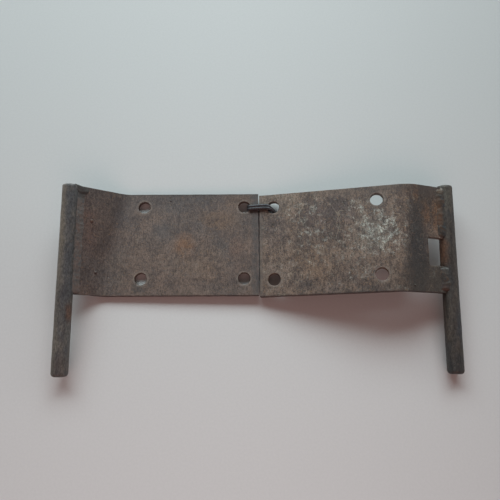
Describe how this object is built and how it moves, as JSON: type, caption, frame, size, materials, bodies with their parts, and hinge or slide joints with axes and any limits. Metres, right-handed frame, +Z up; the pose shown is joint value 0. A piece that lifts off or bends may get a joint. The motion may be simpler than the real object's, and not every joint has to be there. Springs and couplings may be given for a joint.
{
  "type": "door hinge leaf pair",
  "caption": "Cranked steel strap leaves with welded hinge pins, drilled for bolts, laid end to end and tied together with wire.",
  "frame": {"origin": "middle of the underside of the whole pair's bounding box, on the surface that it lies on", "axes": "+X from the left leaf's pin to the right leaf's pin along the strips, +Y across the strips away from the pins' free ends, +Z up"},
  "size_m": [0.2202, 0.1054, 0.0251],
  "materials": {
    "left_plate_steel": "bare strip darkened by age, brown with blue-grey patches and orange rust stains",
    "right_plate_steel": "bare strip, brown with pale grey-green corrosion speckle and rust at the crank",
    "left_pin_steel": "round bar, dark blue-grey with an olive-brown side",
    "right_pin_steel": "round bar, dark grey with rust red patches",
    "weld_beads": "rippled weld metal, dark and lightly rusted",
    "tie_wire": "soft black annealed iron wire"
  },
  "bodies": {
    "left_leaf": {"left_plate": "left_plate_steel", "left_pin": "left_pin_steel", "left_weld_front": "weld_beads", "left_weld_back": "weld_beads", "tie_wire": "tie_wire"},
    "right_leaf": {"right_plate": "right_plate_steel", "right_pin": "right_pin_steel", "right_weld_front_lower": "weld_beads", "right_weld_front_upper": "weld_beads", "right_weld_back_lower": "weld_beads", "right_weld_back_upper": "weld_beads"}
  },
  "joints": [
    {"name": "leaf_fold", "type": "hinge", "parent": "left_leaf", "child": "right_leaf", "pos_m": [-0.00024, 0.02118, 0.0051], "axis": [0, -1, 0], "range_deg": [-15, 160], "deforming": ["tie_wire"]}
  ]
}
